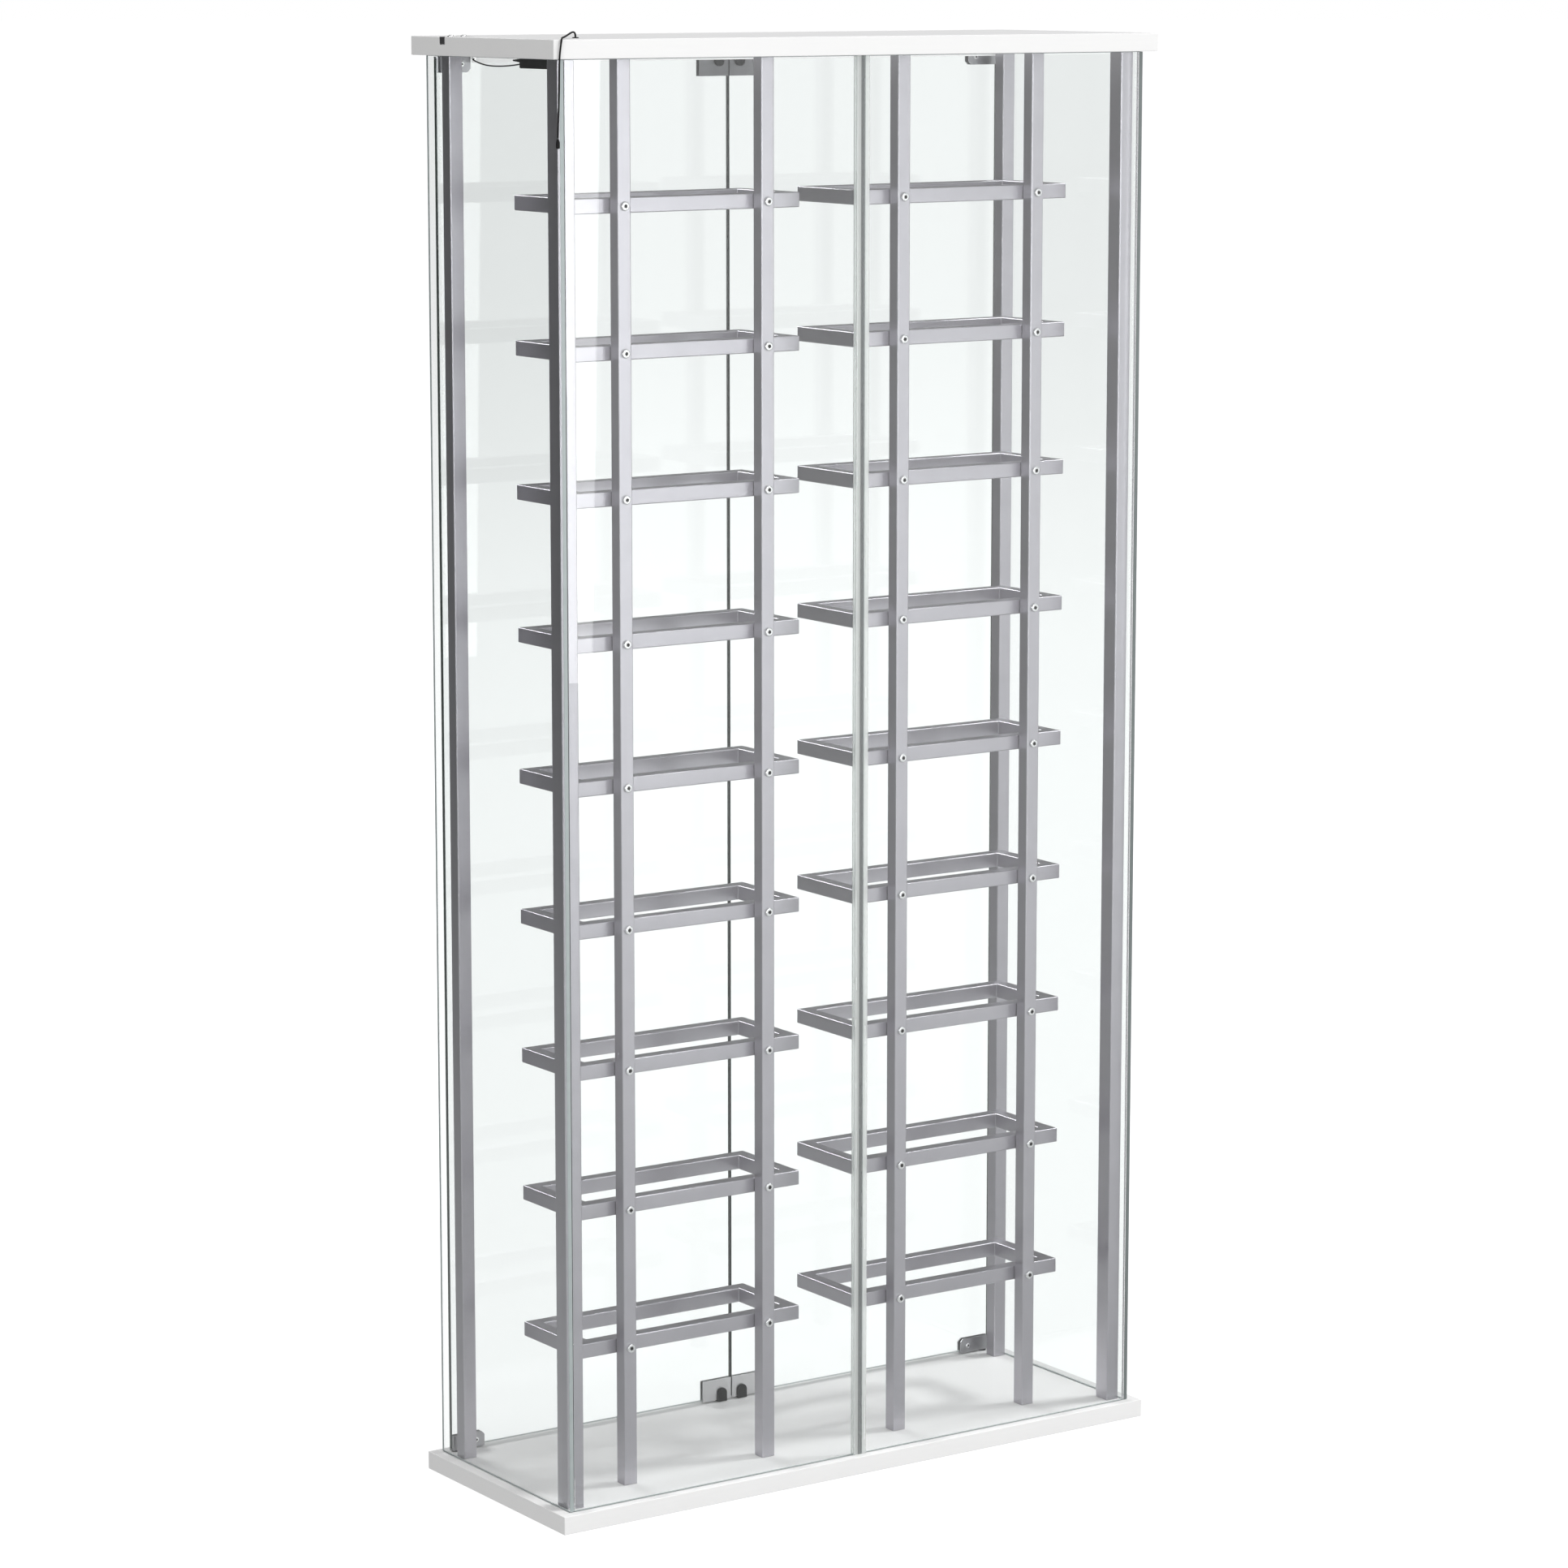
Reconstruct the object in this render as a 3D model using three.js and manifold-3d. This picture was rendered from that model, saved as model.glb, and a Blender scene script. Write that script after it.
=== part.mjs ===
// A wall-mounted glass showcase: two boards, eight square-tube posts, two columns of ring-shaped
// carriers, fixed glass on three sides and two glass doors that turn on pivots.
// Millimetres. +X is right and -Y is front, as someone at the doors sees it; +Z is up, and the
// origin is the middle of the bottom board's underside. The wall is on the +Y side.

import * as THREE from "three";
import { mergeVertices } from "three/addons/utils/BufferGeometryUtils.js";
import Module from "manifold-3d";

const wasm = await Module();
wasm.setup();

// ---------- Driving dimensions ----------

// Overall
const WIDTH = 625;
const DEPTH = 231;
const HEIGHT = 1263;
const BOARD = 16;
const SEAT = 0.3; // gap between pieces that rest on or against each other

// Square tube and posts
const TUBE = 13;
const TUBE_WALL = 1;
const POST_GLASS_GAP = 1.4; // side pane to corner post
const REAR_POST_GAP = 4.5; // rear pane to rear corner post
const REAR_POST_DEPTH = 17; // rear corner posts, front to rear
const FRONT_POST_INSET = 27.5; // front edge of the boards to the front corner posts
const INNER_POST_INSET = 48; // rear edge of the boards to the inner posts
const BAY_POST_PITCH = 144.5; // the two inner posts of one bay

// Ring carriers
const RINGS = 9; // in each column
const RING_DEPTH = 90;
const RING_GAP = 59; // between the two columns
const RING_SIDE_CLEAR = 40.5; // column to side pane
const SCREW_HOLE_R = 2.2;
const SCREW_HOLE_SIDES = 8;

// Fixed glass
const GLASS = 4;
const SIDE_PANE_INSET = 10.5; // board end to the outside of the side pane
const REAR_PANE_INSET = 8; // rear edge of the boards to the outside of the rear panes
const SIDE_PANE_FRONT_INSET = 7; // front edge of the boards to the front edge of the side pane
const PANE_CORNER_GAP = 0.5; // side pane to rear pane
const STRIP_WIDTH = 13;
const STRIP_LEAF = 1;
const STRIP_WEB = 2;

// Doors
const DOOR_FRONT_INSET = 11; // front edge of the boards to the outside of the door glass
const DOOR_SIDE_GAP = 3.5; // side pane to door edge
const DOOR_SEAM = 1.2; // between the two doors
const DOOR_END_GAP = 3; // board to the end of the door glass
const PIVOT_INSET = 5; // door edge to pivot axis
const HARDWARE_FIT = 0.3; // glass to the metal around it

// Pivot clamps on the door glass
const CLAMP_LENGTH = 33.5;
const CLAMP_OVERHANG = 5.5; // pivot axis to the clamp's outer end
const CLAMP_HEIGHT = 13.5;
const CLAMP_WALL = 1.2;
const CLAMP_CHAMFER = 3;
const PIN_R = 1.9;
const PIN_LENGTH = 8;
const PIN_CLEARANCE = 0.1;
const BUSH_R = 3.2;
const BUSH_FLANGE_R = 3.6;
const BUSH_FLANGE = 1;
const BUSH_DEPTH = 9;
const BUSH_END = 1.2; // floor of the bush under its bore

// Strike plates at the free corners of the doors
const PLATE_LENGTH = 31;
const PLATE_HEIGHT = 19.8;
const PLATE_WALL = 1;

// Magnet catches that the strike plates close on
const CATCH_WIDTH = 9.5;
const CATCH_HEIGHT = 12.7;
const CATCH_THICKNESS = 1.8;
const CATCH_FOOT = 5.5; // how far the foot reaches under the door
const CATCH_FOOT_THICKNESS = 1.2;
const CATCH_OFFSET = 11; // door seam to the middle of a catch

// Light strip under the top board, just inside the doors
const LIGHT_HEIGHT = 6.7;
const LIGHT_WIDTH = 6.7;
const LIGHT_WALL = 0.9;
const LIGHT_POST_GAP = 0.9; // front corner posts to light strip
const LIGHT_LEFT_GAP = 2.5; // left side pane to the strip's left end
const LIGHT_RIGHT_GAP = 36.5; // right side pane to the strip's right end
const DIFFUSER = 1.4;

// Driver box beside the right-hand rear corner, and its stub lead
const DRIVER_WIDTH = 20;
const DRIVER_LENGTH = 50;
const DRIVER_HEIGHT = 9.5;
const DRIVER_SIDE_GAP = 27.5; // right side pane to the box
const DRIVER_REAR_INSET = 70; // rear edge of the boards to the box
const DRIVER_ROUND = 1.2;
const STUB_LENGTH = 14;
const STUB_R = 1.7;
const STUB_TIP_R = 0.6;

// Leads
const POWER_LEAD_R = 0.8;
const LIGHT_LEAD_R = 0.6;
const LEAD_SIDES = 8;
const LEAD_HOLE_R = 2.4;
const LEAD_HOLE_INSET = 50; // rear edge of the boards to the hole
const GROMMET_R = 3;
const GROMMET_LIP = 0.8;
const CONNECTOR_LENGTH = 8;
const CONNECTOR_R = 1.6;

// Steel fitting let into the right-hand end of the top board
const FITTING_WIDTH = 8;
const FITTING_HEIGHT = 6.2;
const FITTING_LENGTH = 30;
const FITTING_FRONT_INSET = 48; // front edge of the boards to the fitting

// ---------- Sizes that follow ----------

const innerHeight = HEIGHT - 2 * BOARD;
const halfWidth = WIDTH / 2;
const front = -DEPTH / 2;
const rear = DEPTH / 2;
const floorTop = BOARD;
const ceiling = HEIGHT - BOARD;

const sidePaneOut = halfWidth - SIDE_PANE_INSET;
const sidePaneIn = sidePaneOut - GLASS;
const rearPaneOut = rear - REAR_PANE_INSET;
const rearPaneIn = rearPaneOut - GLASS;

const cornerPostX = sidePaneIn - POST_GLASS_GAP - TUBE / 2;
const rearPostY = rearPaneIn - REAR_POST_GAP - REAR_POST_DEPTH / 2;
const frontPostY = front + FRONT_POST_INSET + TUBE / 2;
const innerPostY = rear - INNER_POST_INSET - TUBE / 2;

const ringWidth = sidePaneIn - RING_SIDE_CLEAR - RING_GAP / 2;
const bayX = (ringWidth + RING_GAP) / 2;
const ringRearY = innerPostY - TUBE / 2 - SEAT;
const ringPitch = innerHeight / (RINGS + 1);

const doorOutY = front + DOOR_FRONT_INSET;
const doorY = doorOutY + GLASS / 2;
const doorEdgeX = sidePaneIn - DOOR_SIDE_GAP;
const pivotX = doorEdgeX - PIVOT_INSET;
const clampHalf = GLASS / 2 + HARDWARE_FIT + CLAMP_WALL;
const plateHalf = GLASS / 2 + HARDWARE_FIT + PLATE_WALL;

// ---------- Materials ----------

function finish(color, roughness, metalness, opacity = 1) {
  return new THREE.MeshStandardMaterial({
    color,
    roughness,
    metalness,
    opacity,
    transparent: opacity < 1,
  });
}

const boardWhite = finish(0xf2f2f1, 0.45, 0);
const tubeSilver = finish(0xb4b4b8, 0.4, 0.85);
const clearGlass = finish(0xe6f2ee, 0.03, 0, 0.3);
const clearPlastic = finish(0xdfe4e2, 0.2, 0, 0.5);
const satinSteel = finish(0xb9b9bb, 0.3, 0.9);
const blackPlastic = finish(0x1c1c1e, 0.55, 0);
const lightWhite = finish(0xf4f4f4, 0.5, 0);
const diffuserWhite = finish(0xfbfbf8, 0.7, 0);
const leadBlack = finish(0x151515, 0.5, 0);

// ---------- Helpers ----------

const showcase = new THREE.Group();

function add(parent, name, geometry, material, x = 0, y = 0, z = 0) {
  const mesh = new THREE.Mesh(geometry, material);
  mesh.name = name;
  mesh.position.set(x, y, z);
  parent.add(mesh);
  return mesh;
}

// A block between two corners.
function block([x0, y0, z0], [x1, y1, z1]) {
  return new THREE.BoxGeometry(x1 - x0, y1 - y0, z1 - z0).translate(
    (x0 + x1) / 2,
    (y0 + y1) / 2,
    (z0 + z1) / 2,
  );
}

// A closed geometry as a manifold solid, and back.
function solid(geometry) {
  const bare = geometry.clone();
  bare.deleteAttribute("normal");
  bare.deleteAttribute("uv");
  const merged = mergeVertices(bare, 1e-4);
  return new wasm.Manifold(
    new wasm.Mesh({
      numProp: 3,
      vertProperties: new Float32Array(merged.attributes.position.array),
      triVerts: new Uint32Array(merged.index.array),
    }),
  );
}

function shapeOf(manifold) {
  const mesh = manifold.getMesh();
  const geometry = new THREE.BufferGeometry();
  geometry.setAttribute("position", new THREE.BufferAttribute(mesh.vertProperties, 3));
  geometry.setIndex(new THREE.BufferAttribute(mesh.triVerts, 1));
  geometry.computeVertexNormals();
  return geometry;
}

function cut(base, tools) {
  return shapeOf(tools.reduce((rest, tool) => rest.subtract(solid(tool)), solid(base)));
}

function join(pieces) {
  return shapeOf(pieces.slice(1).reduce((sum, piece) => sum.add(solid(piece)), solid(pieces[0])));
}

// Cylinders along Z and along Y, centred on a point.
function upright(radius, length, sides, [x, y, z]) {
  return new THREE.CylinderGeometry(radius, radius, length, sides)
    .rotateX(Math.PI / 2)
    .translate(x, y, z);
}

function crosswise(radius, length, sides, [x, y, z]) {
  return new THREE.CylinderGeometry(radius, radius, length, sides).translate(x, y, z);
}

// A turned shape about Z from radius and height pairs.
function turned(profile, sides) {
  const points = profile.map(([radius, height]) => new THREE.Vector2(radius, height));
  return new THREE.LatheGeometry(points, sides).rotateX(Math.PI / 2);
}

function rectangle(width, depth) {
  return [
    new THREE.Vector2(-width / 2, -depth / 2),
    new THREE.Vector2(width / 2, -depth / 2),
    new THREE.Vector2(width / 2, depth / 2),
    new THREE.Vector2(-width / 2, depth / 2),
  ];
}

// A lead: a round section swept along a curve through hand-placed points.
function lead(points, radius, steps) {
  const section = new THREE.Shape();
  for (let i = 0; i < LEAD_SIDES; i++) {
    const turn = (2 * Math.PI * i) / LEAD_SIDES;
    const point = [radius * Math.cos(turn), radius * Math.sin(turn)];
    if (i === 0) section.moveTo(...point);
    else section.lineTo(...point);
  }
  section.closePath();
  const path = new THREE.CatmullRomCurve3(points.map((p) => new THREE.Vector3(...p)));
  return new THREE.ExtrudeGeometry(section, { steps, extrudePath: path });
}

const sides = [
  ["left", -1],
  ["right", 1],
];

// ---------- Boards ----------

const bushPocketDepth = BUSH_DEPTH + SEAT;
const bushPocketR = BUSH_R + SEAT;
const leadHoleX = sidePaneIn - DRIVER_SIDE_GAP - DRIVER_WIDTH / 2;
const leadHoleY = rear - LEAD_HOLE_INSET;

function board() {
  return block([-halfWidth, front, 0], [halfWidth, rear, BOARD]);
}

function bushPockets(z) {
  return sides.map(([, s]) => upright(bushPocketR, bushPocketDepth, 20, [s * pivotX, doorY, z]));
}

add(
  showcase,
  "bottom_board",
  cut(board(), bushPockets(BOARD - bushPocketDepth / 2 + 0.01)),
  boardWhite,
);

const fittingFront = front + FITTING_FRONT_INSET;
const fittingPocket = block(
  [halfWidth - FITTING_LENGTH - SEAT, fittingFront - SEAT, BOARD - FITTING_HEIGHT - SEAT],
  [halfWidth + 1, fittingFront + FITTING_WIDTH + SEAT, BOARD + 1],
);

add(
  showcase,
  "top_board",
  cut(board(), [
    ...bushPockets(bushPocketDepth / 2 - 0.01),
    upright(LEAD_HOLE_R + SEAT, BOARD + 2, 16, [leadHoleX, leadHoleY, BOARD / 2]),
    fittingPocket,
  ]),
  boardWhite,
  0,
  0,
  ceiling,
);

add(
  showcase,
  "side_fitting",
  block(
    [halfWidth - FITTING_LENGTH, fittingFront, HEIGHT - FITTING_HEIGHT],
    [halfWidth, fittingFront + FITTING_WIDTH, HEIGHT],
  ),
  satinSteel,
);

// ---------- Posts ----------

const postLength = innerHeight - 2 * SEAT;

function post(depth = TUBE) {
  const section = new THREE.Shape(rectangle(TUBE, depth));
  section.holes.push(new THREE.Path(rectangle(TUBE - 2 * TUBE_WALL, depth - 2 * TUBE_WALL)));
  return new THREE.ExtrudeGeometry(section, { depth: postLength, bevelEnabled: false });
}

for (const [side, s] of sides) {
  for (const [end, y, depth] of [
    ["front", frontPostY, TUBE],
    ["rear", rearPostY, REAR_POST_DEPTH],
  ]) {
    add(
      showcase,
      `corner_post_${side}_${end}`,
      post(depth),
      tubeSilver,
      s * cornerPostX,
      y,
      floorTop + SEAT,
    );
  }
}

// Height of a ring's middle above the floor of the cabinet.
function ringHeight(level) {
  return level * ringPitch;
}

function drilledPost() {
  const holes = [];
  for (let level = 1; level <= RINGS; level++) {
    holes.push(
      crosswise(SCREW_HOLE_R, TUBE + 2, SCREW_HOLE_SIDES, [0, 0, ringHeight(level) - SEAT]),
    );
  }
  return cut(post(), holes);
}

for (const [side, s] of sides) {
  for (const [place, outward] of [
    ["inner", -1],
    ["outer", 1],
  ]) {
    const x = s * (bayX + (outward * BAY_POST_PITCH) / 2);
    const name = `bay_post_${side}_${place}`;
    add(showcase, name, drilledPost(), tubeSilver, x, innerPostY, floorTop + SEAT);
  }
}

// ---------- Ring carriers ----------

// A mitred frame of square tube, drilled on its rear face for the two screws from the posts.
function ring() {
  const outline = new THREE.Shape(rectangle(ringWidth, RING_DEPTH));
  outline.holes.push(new THREE.Path(rectangle(ringWidth - 2 * TUBE, RING_DEPTH - 2 * TUBE)));
  const bars = new THREE.ExtrudeGeometry(outline, { depth: TUBE, bevelEnabled: false });
  const boreWidth = ringWidth - 2 * TUBE_WALL;
  const boreDepth = RING_DEPTH - 2 * TUBE_WALL;
  const bore = 2 * (TUBE - TUBE_WALL);
  const hollow = new THREE.Shape(rectangle(boreWidth, boreDepth));
  hollow.holes.push(new THREE.Path(rectangle(ringWidth - bore, RING_DEPTH - bore)));
  const inside = new THREE.ExtrudeGeometry(hollow, {
    depth: TUBE - 2 * TUBE_WALL,
    bevelEnabled: false,
  }).translate(0, 0, TUBE_WALL);
  const screwHoles = [-1, 1].map((s) =>
    crosswise(SCREW_HOLE_R, 3 * TUBE_WALL, SCREW_HOLE_SIDES, [
      (s * BAY_POST_PITCH) / 2,
      RING_DEPTH / 2,
      TUBE / 2,
    ]),
  );
  return cut(bars, [inside, ...screwHoles]);
}

for (const [side, s] of sides) {
  for (let level = 1; level <= RINGS; level++) {
    const z = floorTop + ringHeight(level) - TUBE / 2;
    const y = ringRearY - RING_DEPTH / 2;
    add(showcase, `ring_${side}_${level}`, ring(), tubeSilver, s * bayX, y, z);
  }
}

// ---------- Fixed glass ----------

const glassBottom = floorTop + SEAT;
const glassTop = ceiling - SEAT;
const rearPaneSeam = STRIP_WEB / 2 + SEAT;

for (const [side, s] of sides) {
  const paneIn = s * sidePaneIn;
  const paneOut = s * sidePaneOut;
  add(
    showcase,
    `side_pane_${side}`,
    block(
      [Math.min(paneIn, paneOut), front + SIDE_PANE_FRONT_INSET, glassBottom],
      [Math.max(paneIn, paneOut), rearPaneOut, glassTop],
    ),
    clearGlass,
  );
  const inner = s * rearPaneSeam;
  const outer = s * (sidePaneIn - PANE_CORNER_GAP);
  add(
    showcase,
    `rear_pane_${side}`,
    block(
      [Math.min(inner, outer), rearPaneIn, glassBottom],
      [Math.max(inner, outer), rearPaneOut, glassTop],
    ),
    clearGlass,
  );
}

// The clear H-shaped strip that joins the two rear panes.
const stripHalf = STRIP_WIDTH / 2;
const stripIn = rearPaneIn - SEAT;
const stripOut = rearPaneOut + SEAT;
add(
  showcase,
  "rear_joint_strip",
  join([
    block([-stripHalf, stripOut, glassBottom], [stripHalf, stripOut + STRIP_LEAF, glassTop]),
    block([-stripHalf, stripIn - STRIP_LEAF, glassBottom], [stripHalf, stripIn, glassTop]),
    block(
      [-STRIP_WEB / 2, stripIn - STRIP_LEAF / 2, glassBottom],
      [STRIP_WEB / 2, stripOut + STRIP_LEAF / 2, glassTop],
    ),
  ]),
  clearPlastic,
);

// ---------- Doors ----------

const doorBottom = floorTop + DOOR_END_GAP;
const doorTop = ceiling - DOOR_END_GAP;

// The space in a channel around the edge of the door glass, whose bottom edge is at z = 0.
function glassSlot(x0, x1, height) {
  const half = GLASS / 2 + HARDWARE_FIT;
  return block([x0 - 1, -half, -HARDWARE_FIT], [x1 + 1, half, height]);
}

// A pivot clamp: a channel with a round outer end, its far upper corner chamfered, and a pin
// below on the pivot axis.
function clamp(s) {
  const web = HARDWARE_FIT + CLAMP_WALL;
  const roundX = CLAMP_OVERHANG - clampHalf;
  const innerX = CLAMP_OVERHANG - CLAMP_LENGTH;
  const plan = new THREE.Shape();
  plan.moveTo(innerX, -clampHalf);
  plan.lineTo(roundX, -clampHalf);
  plan.absarc(roundX, 0, clampHalf, -Math.PI / 2, Math.PI / 2, false);
  plan.lineTo(innerX, clampHalf);
  plan.closePath();
  const body = new THREE.ExtrudeGeometry(plan, {
    depth: CLAMP_HEIGHT,
    bevelEnabled: false,
    curveSegments: 10,
  }).translate(0, 0, -web);
  const top = CLAMP_HEIGHT - web;
  const corner = new THREE.Shape([
    new THREE.Vector2(innerX - 1, top + 1),
    new THREE.Vector2(innerX - 1, top - CLAMP_CHAMFER - 1),
    new THREE.Vector2(innerX + CLAMP_CHAMFER + 1, top + 1),
  ]);
  const chamfer = new THREE.ExtrudeGeometry(corner, {
    depth: 4 * clampHalf,
    bevelEnabled: false,
  })
    .rotateX(Math.PI / 2)
    .translate(0, 2 * clampHalf, 0);
  const pin = upright(PIN_R, PIN_LENGTH + CLAMP_WALL / 2, 20, [
    0,
    0,
    -web + CLAMP_WALL / 4 - PIN_LENGTH / 2,
  ]);
  const made = solid(body)
    .subtract(solid(glassSlot(innerX, CLAMP_OVERHANG, CLAMP_HEIGHT)))
    .subtract(solid(chamfer))
    .add(solid(pin));
  return shapeOf(s > 0 ? made : made.mirror([1, 0, 0]));
}

function strikePlate(s) {
  const seamEnd = -s * (pivotX - DOOR_SEAM / 2);
  const farEnd = seamEnd + s * PLATE_LENGTH;
  const x0 = Math.min(seamEnd, farEnd);
  const x1 = Math.max(seamEnd, farEnd);
  const web = HARDWARE_FIT + PLATE_WALL;
  const body = block([x0, -plateHalf, -web], [x1, plateHalf, PLATE_HEIGHT - web]);
  return cut(body, [glassSlot(x0, x1, PLATE_HEIGHT)]);
}

// The pieces for the top edge are the bottom ones turned over about X.
const ends = [
  ["bottom", doorBottom, 0],
  ["top", doorTop, Math.PI],
];

for (const [side, s] of sides) {
  const door = new THREE.Group();
  door.position.set(s * pivotX, doorY, 0);
  showcase.add(door);
  const seam = -s * (pivotX - DOOR_SEAM / 2);
  const edge = s * PIVOT_INSET;
  add(
    door,
    `door_glass_${side}`,
    block(
      [Math.min(seam, edge), -GLASS / 2, doorBottom],
      [Math.max(seam, edge), GLASS / 2, doorTop],
    ),
    clearGlass,
  );
  for (const [end, z, turn] of ends) {
    const clampMesh = add(door, `pivot_clamp_${side}_${end}`, clamp(s), satinSteel, 0, 0, z);
    clampMesh.rotation.x = turn;
    const plate = add(door, `strike_plate_${side}_${end}`, strikePlate(s), satinSteel, 0, 0, z);
    plate.rotation.x = turn;
  }
}

// ---------- Pivot bushes and catches on the boards ----------

// A flanged bush with a blind bore for the clamp's pin, its flange standing on the board.
function bush() {
  const bore = PIN_R + PIN_CLEARANCE;
  return turned(
    [
      [0, -BUSH_DEPTH],
      [BUSH_R, -BUSH_DEPTH],
      [BUSH_R, SEAT],
      [BUSH_FLANGE_R, SEAT],
      [BUSH_FLANGE_R, BUSH_FLANGE],
      [bore, BUSH_FLANGE],
      [bore, -BUSH_DEPTH + BUSH_END],
      [0, -BUSH_DEPTH + BUSH_END],
    ],
    24,
  );
}

// A catch: an upright with a round top behind the strike plate, and a foot under the door.
function catchPiece() {
  const half = CATCH_WIDTH / 2;
  const face = new THREE.Shape();
  face.moveTo(-half, 0);
  face.lineTo(half, 0);
  face.lineTo(half, CATCH_HEIGHT - half);
  face.absarc(0, CATCH_HEIGHT - half, half, 0, Math.PI, false);
  face.lineTo(-half, 0);
  const upstand = new THREE.ExtrudeGeometry(face, {
    depth: CATCH_THICKNESS,
    bevelEnabled: false,
    curveSegments: 12,
  }).rotateX(Math.PI / 2);
  const foot = block(
    [-half, -CATCH_THICKNESS - CATCH_FOOT, 0],
    [half, -CATCH_THICKNESS / 2, CATCH_FOOT_THICKNESS],
  );
  return join([upstand, foot]);
}

const catchY = doorY + plateHalf + SEAT + CATCH_THICKNESS;

for (const [side, s] of sides) {
  const levels = [
    ["bottom", floorTop, 0],
    ["top", ceiling, Math.PI],
  ];
  for (const [end, z, turn] of levels) {
    // Turned over about Y, so that the foot still points to the front.
    const bushMesh = add(
      showcase,
      `pivot_bush_${side}_${end}`,
      bush(),
      blackPlastic,
      s * pivotX,
      doorY,
      z,
    );
    bushMesh.rotation.y = turn;
    const catchMesh = add(
      showcase,
      `door_catch_${side}_${end}`,
      catchPiece(),
      blackPlastic,
      s * CATCH_OFFSET,
      catchY,
      turn ? z - SEAT : z + SEAT,
    );
    catchMesh.rotation.y = turn;
  }
}

// ---------- Light strip, driver box and leads ----------

const lightLeft = -sidePaneIn + LIGHT_LEFT_GAP;
const lightRight = sidePaneIn - LIGHT_RIGHT_GAP;
const lightRear = frontPostY - TUBE / 2 - LIGHT_POST_GAP;
const lightFront = lightRear - LIGHT_WIDTH;
const lightTop = ceiling - SEAT;
const lightBottom = lightTop - LIGHT_HEIGHT;

add(
  showcase,
  "light_housing",
  cut(block([lightLeft, lightFront, lightBottom], [lightRight, lightRear, lightTop]), [
    block(
      [lightLeft - 1, lightFront + LIGHT_WALL, lightBottom - 1],
      [lightRight + 1, lightRear - LIGHT_WALL, lightTop - 2 * LIGHT_WALL],
    ),
  ]),
  lightWhite,
);
add(
  showcase,
  "light_diffuser",
  block(
    [lightLeft, lightFront + LIGHT_WALL + SEAT, lightBottom],
    [lightRight, lightRear - LIGHT_WALL - SEAT, lightBottom + DIFFUSER],
  ),
  diffuserWhite,
);

const driverRight = sidePaneIn - DRIVER_SIDE_GAP;
const driverLeft = driverRight - DRIVER_WIDTH;
const driverRear = rear - DRIVER_REAR_INSET;
const driverFront = driverRear - DRIVER_LENGTH;
const driverTop = ceiling - SEAT;

function roundedBox(width, length, height, radius) {
  const outline = new THREE.Shape();
  const x = width / 2;
  const y = length / 2;
  outline.absarc(x - radius, y - radius, radius, 0, Math.PI / 2);
  outline.absarc(-x + radius, y - radius, radius, Math.PI / 2, Math.PI);
  outline.absarc(-x + radius, -y + radius, radius, Math.PI, 1.5 * Math.PI);
  outline.absarc(x - radius, -y + radius, radius, 1.5 * Math.PI, 2 * Math.PI);
  return new THREE.ExtrudeGeometry(outline, {
    depth: height,
    bevelEnabled: false,
    curveSegments: 4,
  });
}

add(
  showcase,
  "driver_box",
  roundedBox(DRIVER_WIDTH, DRIVER_LENGTH, DRIVER_HEIGHT, DRIVER_ROUND),
  blackPlastic,
  (driverLeft + driverRight) / 2,
  (driverFront + driverRear) / 2,
  driverTop - DRIVER_HEIGHT,
);

// The stub lead on the front end of the driver box, thinning to its tip.
add(
  showcase,
  "driver_stub",
  turned(
    [
      [0, 0],
      [STUB_R, 0],
      [STUB_R, 2],
      [STUB_TIP_R, STUB_LENGTH],
      [0, STUB_LENGTH],
    ],
    12,
  ).rotateX(Math.PI / 2),
  blackPlastic,
  driverRight - STUB_R - 1.5,
  driverFront - SEAT,
  driverTop - STUB_R - 1.5,
);

// The thin lead that sags from the driver box to the end of the light strip. Each point gives its
// distance from the right side pane, its share of the way to the strip, and its drop from the board.
const leadSpan = lightFront + LIGHT_WIDTH / 2 - driverFront;
const lightLeadPoints = [
  [34.5, 0.004, 5.8],
  [34.3, 0.085, 6.5],
  [34, 0.197, 7.5],
  [33.7, 0.333, 8.4],
  [33.4, 0.468, 8.9],
  [33.2, 0.592, 8.9],
  [33, 0.705, 8.4],
  [33, 0.806, 7.3],
  [33, 0.885, 6],
  [33.3, 0.947, 4.8],
  [34.2, 0.986, 4],
  [35.2, 0.998, 3.8],
  [36.2, 1, 3.7],
].map(([inward, share, drop]) => [
  sidePaneIn - inward,
  driverFront + share * leadSpan,
  ceiling - drop,
]);
add(showcase, "light_lead", lead(lightLeadPoints, LIGHT_LEAD_R, 40), leadBlack);

// The grommet in the top board and the power lead that comes out of it.
add(
  showcase,
  "lead_grommet",
  turned(
    [
      [POWER_LEAD_R + SEAT, -BOARD / 2],
      [LEAD_HOLE_R, -BOARD / 2],
      [LEAD_HOLE_R, SEAT],
      [GROMMET_R, SEAT],
      [GROMMET_R - 0.4, GROMMET_LIP],
      [POWER_LEAD_R + SEAT, GROMMET_LIP],
      [POWER_LEAD_R + SEAT, -BOARD / 2],
    ],
    20,
  ),
  blackPlastic,
  leadHoleX,
  leadHoleY,
  HEIGHT,
);

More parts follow.
